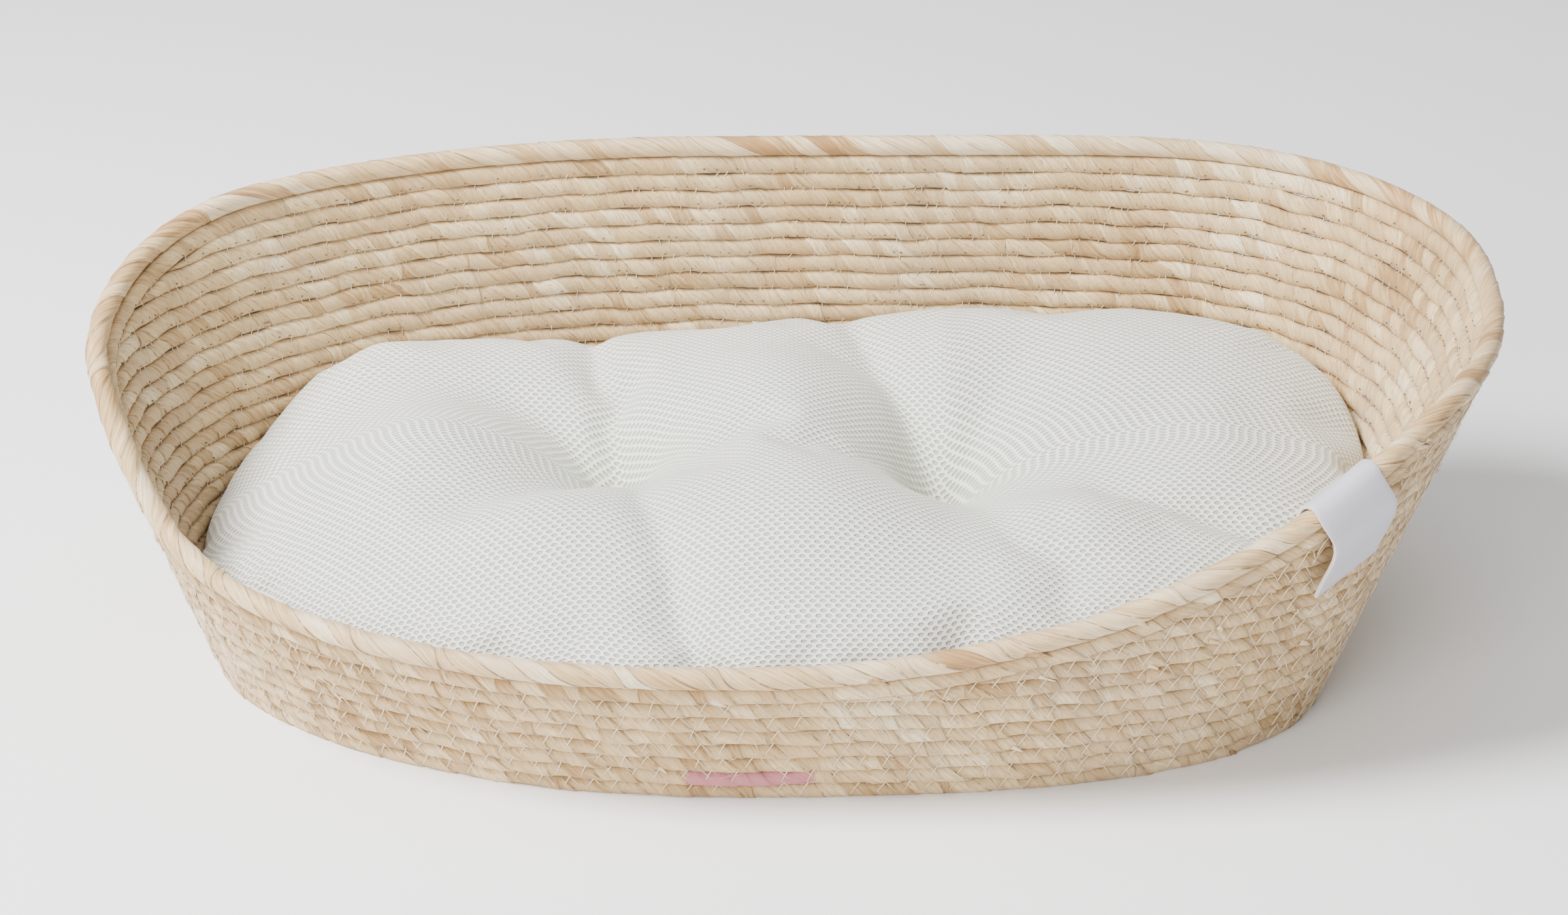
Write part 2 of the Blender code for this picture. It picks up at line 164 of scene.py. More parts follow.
class Path:
    """A line through close points with an outward direction, read by its length."""

    def __init__(self, points, normals, closed):
        if closed:
            points = np.vstack([points, points[:1]])
            normals = np.vstack([normals, normals[:1]])
        self.closed = closed
        self.points, self.normals = points, normals
        steps = np.linalg.norm(np.diff(points, axis=0), axis=1)
        self.along = np.concatenate([[0.0], np.cumsum(steps)])
        self.length = self.along[-1]

    def read(self, values, s):
        return np.stack([np.interp(s, self.along, values[:, k]) for k in range(3)], -1)

    def at(self, s):
        """Places, and the directions outward and up the wall, at lengths s of any shape."""
        flat = np.asarray(s, float).ravel()
        flat = flat % self.length if self.closed else np.clip(flat, 0, self.length)
        ahead, behind = flat + PATH_STEP, flat - PATH_STEP
        if self.closed:
            ahead, behind = ahead % self.length, behind % self.length
        along = unit(self.read(self.points, ahead) - self.read(self.points, behind))
        normal = self.read(self.normals, flat)
        up = unit(np.cross(normal, along))
        out = np.cross(along, up)
        return self.read(self.points, flat), out, up


def wall_path(t, slant, closed):
    """A path over the wall at angles t and slants."""
    slant = np.broadcast_to(slant, t.shape)
    near = 0.001
    along = wall_point(t + TURN / 2, slant) - wall_point(t - TURN / 2, slant)
    up = wall_point(t, slant + near) - wall_point(t, slant - near)
    return Path(wall_point(t, slant), unit(np.cross(along, up)), closed)


FULL_TURN = np.linspace(-math.pi / 2, 1.5 * math.pi, 1801)
RING = FULL_TURN[:-1]
TIP = 0.1  # thickness of a row's end, as a share of the rope's


def row_span(slant):
    """Angles where a row at this slant runs, and its thickness there, or None for a full ring."""
    t = FULL_TURN
    room = (follow_slant(t) - slant) * follow_cosine(t)
    share = room / ROPE
    if share.min() > 1:
        return None
    keep = np.nonzero(share > TIP)[0]
    t, share = t[keep[0]:keep[-1] + 1], share[keep[0]:keep[-1] + 1]
    return t, np.clip(share, TIP, 1.0)


# -------- mesh helpers

def new_object(name, data):
    obj = bpy.data.objects.new(name, data)
    bpy.context.scene.collection.objects.link(obj)
    return obj


def new_mesh(name, points, faces, *looks):
    """A smooth piece from an array of points and lists of corners."""
    mesh = bpy.data.meshes.new(name)
    mesh.from_pydata(points.tolist(), [], faces)
    mesh.update()
    mesh.shade_smooth()
    for look in looks:
        mesh.materials.append(look)
    return new_object(name, mesh)


def face_values(obj, name, values):
    attribute = obj.data.attributes.new(name, "FLOAT", "FACE")
    attribute.data.foreach_set("value", np.asarray(values, np.float32))


def vertex_places(obj):
    places = np.empty(len(obj.data.vertices) * 3)
    obj.data.vertices.foreach_get("co", places)
    return places.reshape(-1, 3)


def set_places(obj, places):
    obj.data.vertices.foreach_set("co", places.ravel())
    obj.data.update()


def settle(obj, body, slot, *nodes):
    """Puts a finished piece on its body and hides the nodes that it stands for. slot, its finish, is not
    used.
    """
    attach(obj, body)
    if nodes:
        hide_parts(*nodes)


# -------- wrapped rope

RING_PLACES = np.array((0.0, 0.2, 0.45, 0.7, 0.955))  # of the rings over a strip, in shares of its width
EDGE_FROM = 0.9  # where a strip's ragged edge begins
STRIP_OFFSET, GRAIN, LUMPS = 0.00012, 0.00007, 0.03  # unevenness of strips, fibres and rope
LUMP_LENGTHS = (0.0061, 0.0137)
WANDER = (0.06, 0.132)  # how far the winding wanders, in turns
END_TAPER = 0.0025
RUN_ON = 0.45  # share of strips that keep the tone of the turn before
TONE_SPREAD = 2.2


def rope_faces(start, lead, per_turn, sides, closed):
    """Faces between rings that are skewed by a turn, their husk coordinates, and each one's ring."""
    count = len(start)
    rings = count if closed else count - 1
    ring = np.repeat(np.arange(rings), sides)
    column = np.tile(np.arange(sides), rings)
    after = (ring + 1) % count

    def corner(ring, column):
        shifted = np.where(column == sides, ring - per_turn, ring)
        shifted = shifted % count if closed else np.maximum(shifted, 0)
        return shifted * sides + column % sides

    here = start[ring]
    ahead = np.where(ring + 1 < count, start[after], here + lead / per_turn)
    corners = ((ring, column), (after, column), (after, column + 1), (ring, column + 1))
    quads = np.stack([corner(*one) for one in corners], -1)
    spots = ((here, column), (ahead, column), (ahead, column + 1), (here, column + 1))
    uv = np.stack([np.stack([along, k / sides], -1) for along, k in spots], 1)
    return quads, uv, ring


def wrapped_rope(name, path, radii, look, rng, lead=0.0195, strips=2, sides=14, lift=0.0004,
                 shares=None, dye=None, rough=1.7, square=0.84):
    """A rope wound with overlapping husk strips. Its rings are skewed to run along the strip edges.

    radii are its half sizes outward and up the wall, shares how much of them it has along the path.
    """
    turns = max(2, round(path.length / lead))
    lead = path.length / turns
    per_turn = strips * len(RING_PLACES)
    count = turns * per_turn + (0 if path.closed else per_turn)
    index = np.arange(count)
    turn = index // per_turn
    strip = (index % per_turn) // len(RING_PLACES)
    local = RING_PLACES[index % len(RING_PLACES)]
    start = (turn + (strip + local) / strips) * lead
    columns = np.arange(sides)
    s = start[:, None] - lead * columns[None, :] / sides
    if not path.closed:
        s = np.clip(s, 0, path.length)
    waves = [
        (rng.uniform(*WANDER) * lead, rng.integers(2, turns), rng.uniform(0, math.tau))
        for _ in range(3)
    ]
    reach = 1.0 if path.closed else np.clip(np.minimum(s, path.length - s) / lead, 0, 1)
    s = s + reach * sum(far * np.sin(math.tau * k * s / path.length + phase) for far, k, phase in waves)
    place, out, up = path.at(s)
    offsets = rng.normal(0, STRIP_OFFSET * rough, (turns + 2, strips))
    rise = lift * local**2 + offsets[turn, strip]
    bulge = (rise[:, None] + rng.normal(0, GRAIN * rough, (count, sides))).ravel()
    angle = -math.pi / 2 + math.tau * columns / sides
    cosine, sine = (
        np.tile(np.sign(v) * np.abs(v) ** square, count) for v in (np.cos(angle), np.sin(angle))
    )
    s = s.ravel()
    share = np.ones(len(s)) if shares is None else np.interp(s, path.along, shares)
    lumps = 1 + LUMPS * rough * sum(np.sin(s / one + rng.uniform(0, 6)) for one in LUMP_LENGTHS)
    ends = 1.0 if path.closed else np.clip(np.minimum(s, path.length - s) / END_TAPER, 0.03, 1) ** 0.5
    outward = (radii[0] * share**0.4 * lumps + bulge * share) * ends
    upward = (radii[1] * share + bulge * 0.4 * share) * ends
    points = place + out * (outward * cosine)[:, None] + up * (upward * sine)[:, None]
    points[:, 2] = np.maximum(points[:, 2], 0.0)

    quads, uv, ring = rope_faces(start, lead, per_turn, sides, path.closed)
    tone = rng.beta(TONE_SPREAD, TONE_SPREAD, (turns + 2, strips))
    for k in range(1, turns + 2):
        kept = rng.random(strips) < RUN_ON
        tone[k, kept] = tone[k - 1, kept]
    tones = list(tone[turn[ring], strip[ring]])
    edges = list((local[ring] > EDGE_FROM).astype(float))
    sizes = np.where(quads[:, 2] != quads[:, 3], 4, 3).tolist()
    faces = [quad[:size] for quad, size in zip(quads.tolist(), sizes)]
    spots = [four[:size] for four, size in zip(uv, sizes)]
    if not path.closed:
        for last, way in ((0, -1), (count - 1, 1)):
            faces.append([last * sides + k for k in range(sides)][::way])
            spots.append(np.zeros((sides, 2)))
            tones.append(0.5)
            edges.append(0.0)
    obj = new_mesh(name, points, faces, look)
    layer = obj.data.uv_layers.new(name="husk")
    layer.data.foreach_set("uv", np.concatenate(spots).astype(np.float32).ravel())
    face_values(obj, "tone", tones)
    face_values(obj, "edge", edges)
    centres = np.empty(len(faces) * 3)
    obj.data.polygons.foreach_get("center", centres)
    face_values(obj, "dye", np.zeros(len(faces)) if dye is None else dye(centres.reshape(-1, 3)))
    return obj


def wobble(t, slant):
    """How far the rows wander up and down the wall, nearly alike in neighbouring rows."""
    row = slant / PITCH
    waves = np.sin(17 * t + 0.35 * row) + np.sin(29 * t - 0.5 * row + 1.7) + np.sin(53 * t + row)
    return 0.00035 * waves


PRESSED = 1.05  # rows are this much taller than their pitch, so that no light comes between them


def wall_ropes(look, rng):
    """Every lap of the wall, each in place of its own node. Gives their spans."""
    spans = {}
    for number in range(1, WALL_ROWS + 1):
        slant = (number - 1) * PITCH
        span = row_span(slant)
        name = f"wall_row_{number:02d}"
        radii = (ROPE / 2, PITCH / 2 * PRESSED)
        dye = pink_stretch if number == 2 else None
        if span is None:
            path, shares = wall_path(RING, slant + wobble(RING, slant), True), None
        else:
            t, shares = span
            settled = slant - (1 - shares) * PITCH / 2
            path = wall_path(t, settled + wobble(t, slant), False)
        rope = wrapped_rope(f"husk_{name}", path, radii, look, rng, shares=shares, dye=dye)
        settle(rope, "basket", "husk_rope", name)
        spans[number] = span
    return spans


PINK_LEFT, PINK_RIGHT = -0.036, 0.019


def pink_stretch(centres):
    """One stretch of dyed husk low on the front."""
    x = centres[:, 0] - MIDDLE[0]
    return (centres[:, 1] < 0) & (x > PINK_LEFT) & (x < PINK_RIGHT)


def edge_ropes(wall_look, rim_look, rng):
    follow = wall_path(RING, follow_slant(RING), True)
    rope = wrapped_rope("husk_follow_row", follow, (ROPE / 2, PITCH / 2 * 1.07), wall_look, rng)
    settle(rope, "basket", "husk_rope", "follow_row")
    rim = wall_path(RING, rim_slant(RING), True)
    radii = (RIM_ROPE / 2 * 1.03, RIM_ROPE / 2 * 1.06)
    rope = wrapped_rope("husk_rim", rim, radii, rim_look, rng, lead=0.038, strips=3, sides=20,
                        lift=0.0005, rough=1.2, square=1.0)
    settle(rope, "basket", "rim_husk", "rim_rope")


def base_rope(look, rng):
    """The flat oval coil, from its middle outward."""
    half_core = BASE_HALF_LENGTH - BASE_LAPS * PITCH
    turns = BASE_LAPS - 1 - BASE_START
    laps = np.linspace(0, turns, int(turns * 220))
    t = -math.pi / 2 + math.tau * laps
    edge = base_outline(t)
    core = np.stack([np.clip(edge[:, 0], -half_core, half_core), 0 * t, 0 * t], -1)
    points = core + (edge - core) * ((BASE_START + laps) / BASE_LAPS)[:, None]
    points[:, 2] = FLAT * ROPE / 2
    path = Path(points + MIDDLE, np.tile([0.0, 0.0, -1.0], (len(t), 1)), False)
    rope = wrapped_rope("husk_base_coil", path, (FLAT * ROPE / 2, PITCH / 2 * 1.01), look, rng,
                        lead=0.040, sides=10)
    settle(rope, "basket", "husk_rope", "base_coil")


# -------- sewing and loose fibre

def strands(name, starts, middles, ends, normals, radius, look, sides=4):
    """Many short threads in one piece, each bent once, with closed ends."""
    count = len(starts)
    stops = np.stack([starts, middles, ends], 1)
    along = unit(ends - starts)
    side = unit(np.cross(along, normals))
    over = np.cross(side, along)
    radius = np.broadcast_to(radius, (count,))
    turn = math.tau * np.arange(sides) / sides
    ring = side[:, None] * np.cos(turn)[:, None] + over[:, None] * np.sin(turn)[:, None]
    points = (stops[:, :, None] + ring[:, None] * radius[:, None, None, None]).reshape(-1, 3)
    points[:, 2] = np.maximum(points[:, 2], 0.0002)
    first = np.arange(count)[:, None] * 3 * sides
    faces = []
    for level in range(2):
        for k in range(sides):
            a, b = level * sides + k, level * sides + (k + 1) % sides
            faces.append(first + np.array([[a, b, b + sides, a + sides]]))
    faces = np.concatenate(faces).tolist()
    faces += (first + np.arange(sides)[None, ::-1]).tolist()
    faces += (first + 2 * sides + np.arange(sides)[None, :]).tolist()
    return new_mesh(name, points, faces, look)


def seam_lines(spans):
    """(angles, slants) of each groove between two rows, and of the one under the follow row."""
    lines = []
    for number in range(2, WALL_ROWS + 1):
        span = spans[number]
        t = RING if span is None else span[0][6:-6]
        if len(t) > 40:
            lines.append((t, np.full(len(t), (number - 1.5) * PITCH)))
    lines.append((RING, follow_slant(RING) - PITCH / 2 / follow_cosine(RING)))
    return lines


def on_wall(line, s, rise, off):
    """Wall places at lengths s along a seam line, shifted up the slant by rise and outward by off."""
    t, slant = line
    points = wall_point(t, slant)
    along = np.concatenate([[0.0], np.cumsum(np.linalg.norm(np.diff(points, axis=0), axis=1))])
    tt = np.interp(s, along, t)
    return wall_point(tt, np.interp(s, along, slant) + rise, off)


def seam_length(line):
    return np.linalg.norm(np.diff(wall_point(*line), axis=0), axis=1).sum()


STITCH = 0.0108  # from one zigzag to the next
STITCH_HEIGHT = 0.0036  # to either side of the groove
ON_ROPE = ROPE / 2 * 1.07  # from the wall's middle to a thread on the outside


def stitch_legs(line, rng, run, share):
    """One direction of the zigzag along a seam, on the outside: starts, middles, ends and normals.

    run is how far a leg leans along the seam, and share is how many of the legs show.
    """
    count = int(seam_length(line) / STITCH)
    s = (np.arange(count) + rng.random()) * STITCH + rng.normal(0, 0.0005, count)
    height = STITCH_HEIGHT + rng.normal(0, 0.0004, count)
    off = ON_ROPE - np.where(rng.random(count) < 0.3, 0.00035, 0.0)
    keep = rng.random(count) < share
    a = on_wall(line, s, -height, off)
    b = on_wall(line, s + run, height, off)
    middle = on_wall(line, s + run / 2, rng.normal(0, 0.0002, count), off - ROPE * 0.02)
    return a[keep], middle[keep], b[keep], outward_at(line, s)[keep]


def outward_at(line, s):
    return unit(on_wall(line, s, 0.0, ROPE) - on_wall(line, s, 0.0, 0.0))


def places_inside(line, rng, spread, share):
    """Uneven lengths along a seam, for what shows of the sewing on the inside."""
    count = int(seam_length(line) / (STITCH / 2))
    s = (np.arange(count) + rng.random()) * STITCH / 2 + rng.normal(0, spread, count)
    return s[rng.random(count) < share]


def inner_ticks(line, rng):
    """Short threads that cross the grooves on the inside."""
    s = places_inside(line, rng, 0.0009, 0.55)
    reach = rng.uniform(0.0012, 0.0021, len(s))
    tilt = rng.normal(0, 0.0006, len(s))
    inward = -ROPE / 2 * 0.84
    a = on_wall(line, s - tilt, -reach, inward)
    b = on_wall(line, s + tilt, reach, inward)
    return a, on_wall(line, s, 0.0, inward * 0.80), b, -outward_at(line, s)


def needle_holes(line, rng):
    """Short dark pricks low on the inner face of each rope, where the needle came through."""
    s = places_inside(line, rng, 0.0008, 0.6)
    rise = 0.0022 + rng.normal(0, 0.0003, len(s))
    size = rng.uniform(0.00025, 0.0006, len(s))
    inward = -ROPE / 2 * 0.925
    a = on_wall(line, s - size, rise, inward)
    b = on_wall(line, s + size, rise + rng.normal(0, 0.0002, len(s)), inward)
    return a, (a + b) / 2, b, -outward_at(line, s)


def sewing(lines, thread, faint, dark, rng):
    """The zigzag outside, the threads inside and the pricks of the needle."""
    def sew(name, slot, radius, look, one_line, *sizes):
        parts = [one_line(line, rng, *sizes) for line in lines]
        a, middle, b, normal = (np.concatenate(column) for column in zip(*parts))
        settle(strands(name, a, middle, b, normal, radius, look), "basket", slot)

    sew("stitches_forward", "tuft_thread", 0.00028, thread, stitch_legs, 0.0048, 0.85)
    sew("stitches_back", "tuft_thread", 0.00021, thread, stitch_legs, -0.0040, 0.65)
    sew("stitches_inside", "tuft_thread", 0.00021, faint, inner_ticks)
    sew("needle_holes", "husk_rope", 0.00038, dark, needle_holes)


def scattered(count, rng):
    """Random angles and slants over the wall, below its top edge."""
    t = rng.uniform(-math.pi, math.pi, count * 3)
    slant = rng.uniform(0, WALL_ROWS * PITCH, count * 3)
    fits = slant < follow_slant(t) * 0.97
    return t[fits][:count], slant[fits][:count]


FIBRE_RADIUS = 0.22  # about the wall's radius, to turn lengths along it into angles
FIBRES, OUTSIDE_ENDS, RIM_ENDS = 2600, 170, 26


def fuzz(look, rng):
    """Fine fibres that stand off the outside."""
    t, slant = scattered(FIBRES, rng)
    count = len(t)
    reach = rng.uniform(0.0015, 0.006, count)
    way = rng.uniform(0, math.tau, count)
    stand = rng.uniform(0.0002, 0.0018, count)
    dt = reach * np.cos(way) / FIBRE_RADIUS
    ds = reach * np.sin(way) * 0.7
    root = wall_point(t, slant, ROPE / 2 * 0.93)
    middle = wall_point(t + dt * 0.5, slant + ds * 0.6, ROPE / 2 + stand * 0.8)
    tip = wall_point(t + dt, slant + ds, ROPE / 2 + stand)
    normal = unit(wall_point(t, slant, ROPE) - wall_point(t, slant))
    radius = rng.uniform(0.00005, 0.00011, count)
    obj = strands("husk_fibres", root, middle, tip, normal, radius, look, 3)
    settle(obj, "basket", "husk_rope")


def husk_ends(name, slot, t, slant, off, rng, look, length, width, curl):
    """Loose ends of husk strip that lift and curl off the rope."""
    count = len(t)
    rows, columns = 5, 3
    tilt = rng.uniform(-1.1, -0.3, count)
    long, wide = rng.uniform(*length, count), rng.uniform(*width, count)
    peak = rng.uniform(0.3, 1.0, count) * curl
    grid = np.empty((count, rows, columns, 3))
    for i in range(rows):
        along = i / (rows - 1)
        for k in range(columns):
            across = (k / (columns - 1) - 0.5) * (1 - 0.55 * along**2)
            x = long * along * np.cos(tilt) - wide * across * np.sin(tilt)
            y = long * along * np.sin(tilt) + wide * across * np.cos(tilt)
            lift = peak * along**1.6 + 0.0002 - 0.0004 * abs(across)
            fall = off - 0.3 * (y / (ROPE / 2)) ** 2 * ROPE / 2
            grid[:, i, k] = wall_point(t + x / 0.24, slant + y, fall + lift)
    grid[..., 2] = np.maximum(grid[..., 2], 0.0002)
    at = np.arange(count * rows * columns).reshape(count, rows, columns)
    faces = np.stack([at[:, :-1, :-1], at[:, :-1, 1:], at[:, 1:, 1:], at[:, 1:, :-1]], -1).reshape(-1, 4)
    obj = new_mesh(name, grid.reshape(-1, 3), faces.tolist(), look)
    thick = obj.modifiers.new("Solidify", "SOLIDIFY")
    thick.thickness = 0.00018
    thick.offset = 0.0
    face_values(obj, "tone", rng.random(count).repeat((rows - 1) * (columns - 1)))
    settle(obj, "basket", slot)


def loose_ends(look, rng):
    t, slant = scattered(OUTSIDE_ENDS, rng)
    row = np.round(slant / PITCH) * PITCH
    husk_ends("husk_ends_outside", "husk_rope", t, row, ROPE / 2, rng, look,
              length=(0.004, 0.009), width=(0.0018, 0.004), curl=0.0016)
    t = rng.uniform(-math.pi, math.pi, RIM_ENDS)
    husk_ends("husk_ends_rim", "rim_husk", t, rim_slant(t) + 0.0005, RIM_ROPE / 2 * 1.02, rng, look,
              length=(0.006, 0.013), width=(0.003, 0.006), curl=0.0013)


# -------- tag

# Below the rim's centre, standing off the wall, and shifted along the rim, down the tag's outer leg
TAG_LEG = (
    (-0.0008, 0.0068, 0.001), (0.003, 0.0089, 0.0032), (0.007, 0.0101, 0.0052), (0.011, 0.0106, 0.0062),
    (0.015, 0.0105, 0.0067), (0.020, 0.0098, 0.0070), (0.026, 0.0087, 0.0072), (0.032, 0.0078, 0.0074),
    (0.036, 0.0074, 0.0076),
)


def tag_piece(look, edge_look):
    """The folded leather strip: short leg inside, over the rim, long leg outside with a crease."""
    reach = RIM_ROPE / 2 * 1.06 + 0.0005
    bend = [math.pi * (1 - i / 15) for i in range(12)]
    line = [(0.016, -reach, 0.0), (0.008, -reach, 0.0)]
    line += [(-reach * math.sin(angle), reach * math.cos(angle), 0.0) for angle in bend]
    line += TAG_LEG
    centre = np.array([TAG_ANGLE])
    top = rim_slant(centre)
    step = wall_point(centre + 0.01, rim_slant(centre + 0.01)) - wall_point(centre, top)
    per_metre = 0.01 / np.linalg.norm(step)
    across = np.linspace(-1, 1, 13)
    rows = []
    for below, stand, shift in line:
        middle = TAG_ANGLE + shift * per_metre
        ends = middle + np.array([-0.02, 0.02])
        ends = wall_point(ends, rim_slant(ends) - below / follow_cosine(ends), stand)
        t = middle + across * TAG_WIDTH / 2 * 0.04 / np.linalg.norm(ends[1] - ends[0])
        bow = 0.0005 * (1 - across**2) * (stand > 0)
        curved = wall_point(t, rim_slant(t) - below / follow_cosine(t), stand + bow)
        straight = curved[len(across) // 2] + across[:, None] * TAG_WIDTH / 2 * unit(step)
        rows.append(blend(curved, straight, smooth_step(below, -0.004, 0.006) * (stand > 0)))
    n = len(across)
    faces = [
        (i * n + k, i * n + k + 1, (i + 1) * n + k + 1, (i + 1) * n + k)
        for i in range(len(rows) - 1) for k in range(n - 1)
    ]
    obj = new_mesh("leather_tag", np.concatenate(rows), faces, look, edge_look)
    outward = unit(wall_point(centre, top, 0.01) - wall_point(centre, top))[0]
    thick = obj.modifiers.new("Solidify", "SOLIDIFY")
    thick.thickness = TAG_THICKNESS
    thick.offset = 1.0 if obj.data.polygons[-1].normal.dot(Vector(outward)) > 0 else -1.0
    thick.material_offset_rim = 1
    soft = obj.modifiers.new("Bevel", "BEVEL")
    soft.width = 0.0003
    soft.segments = 2
    soft.limit_method = "ANGLE"
    settle(obj, "basket", "tag_leather", "tag")


# -------- cushion

SEAM = 0.0422  # height of the cushion's seam
CUSHION_ROOM = 0.0035  # to the ropes round its seam
WALL_ROOM = 0.0016  # the least room to a rope
FLOOR = ROPE + 0.0009
TUFTS = ((-0.070, 0.012), (0.081, 0.006))
CREASES = (
    # from, to, depth at its start and its end, half width
    ((-0.070, 0.012), (-0.086, 0.140), 0.014, 0.002, 0.013),
    ((-0.070, 0.012), (-0.140, 0.088), 0.014, 0.004, 0.017),
    ((-0.070, 0.012), (-0.120, -0.050), 0.011, 0.003, 0.018),
    ((-0.060, -0.020), (-0.028, -0.145), 0.003, 0.012, 0.011),
    ((0.081, 0.006), (0.030, 0.140), 0.020, 0.001, 0.013),
    ((0.081, 0.006), (0.130, 0.110), 0.009, 0.002, 0.018),
    ((0.076, 0.000), (0.104, -0.070), 0.014, 0.004, 0.012),
    ((0.142, -0.040), (0.214, -0.064), 0.006, 0.013, 0.013),
)
LOBES = (
    # place, height, radius
    ((-0.160, 0.010), 0.010, 0.050), ((-0.105, 0.105), 0.004, 0.030), ((-0.100, -0.070), 0.012, 0.045),
    ((0.005, 0.050), 0.012, 0.045), ((0.015, -0.065), 0.014, 0.050), ((0.085, 0.090), 0.007, 0.035),
    ((0.165, 0.060), 0.010, 0.050), ((0.130, -0.075), 0.014, 0.038),
    ((0.195, -0.010), 0.006, 0.035),
)
EDGE_HEIGHTS = (
    # angle in degrees about the cushion's middle, height of its top there
    (-180, 0.060), (-130, 0.062), (-90, 0.070), (-40, 0.079), (0, 0.089), (8, 0.097), (16, 0.110),
    (24, 0.121), (35, 0.123), (53, 0.121), (63, 0.119), (75, 0.116), (83, 0.117), (99, 0.112),
    (120, 0.110), (134, 0.110), (144, 0.115), (152, 0.116), (158, 0.109), (166, 0.088),
    (174, 0.070), (180, 0.060),
)
PIT_DEPTH, PIT_RADIUS = 0.036, 0.027
INNER = 0.86  # share of the outline that the square grid covers, inside the rings of the edge
CROWNS = ((True, 40.0, 16), (False, 9.0, 6))  # upper or not, squareness of the edge, its rings
GRID = 0.005


def inner_oval(height, room):
    """The oval that the wall leaves free at a height: polar angles, radii and the wall's slopes."""
    t = np.linspace(-math.pi, math.pi, 721)
    angle = flare_angle(t)
    edge = wall_point(t, (height - FLAT * ROPE / 2) / np.cos(angle), -ROPE / 2 - room) - MIDDLE
    polar = np.arctan2(edge[:, 1], edge[:, 0])
    order = np.argsort(polar)
    return polar[order], np.hypot(edge[:, 0], edge[:, 1])[order], np.tan(angle)[order]


def smooth_step(v, low, high):
    u = np.clip((v - low) / (high - low), 0, 1)
    return u * u * (3 - 2 * u)


def inner_height(x, y):
    """Height of the stuffed form away from its edge."""
    height = blend(0.084, 0.102, smooth_step(y, -0.12, 0.02))
    height = height + 0.008 * smooth_step(x, 0.02, 0.16) * smooth_step(y, -0.02, 0.10)
    for (lx, ly), lift, radius in LOBES:
        height = height + lift * np.exp(-((x - lx) ** 2 + (y - ly) ** 2) / (2 * (radius * 0.7) ** 2))
    return height


def drawn_in(x, y):
    """How far the tufts and creases pull the surface down."""
    depth = np.zeros_like(x)
    for (ax, ay), (bx, by), at_start, at_end, width in CREASES:
        run = np.array([bx - ax, by - ay])
        share = np.clip(((x - ax) * run[0] + (y - ay) * run[1]) / (run @ run), 0, 1)
        gap = np.hypot(x - ax - share * run[0], y - ay - share * run[1])
        depth = np.maximum(depth, blend(at_start, at_end, share) * np.exp(-((gap / width) ** 1.5)))
    for tx, ty in TUFTS:
        gap = np.hypot(x - tx, y - ty)
        depth = depth + PIT_DEPTH * np.exp(-((gap / PIT_RADIUS) ** 1.2))
    return depth


def top_height(x, y, edge_share, edge_height):
    height = blend(inner_height(x, y), edge_height, smooth_step(edge_share, 0.5, 1.02))
    return height - drawn_in(x, y)


def underside(x, y, *_):
    lift = sum(0.012 * np.exp(-(((x - tx) ** 2 + (y - ty) ** 2) / 0.022**2)) for tx, ty in TUFTS)
    return FLOOR + lift


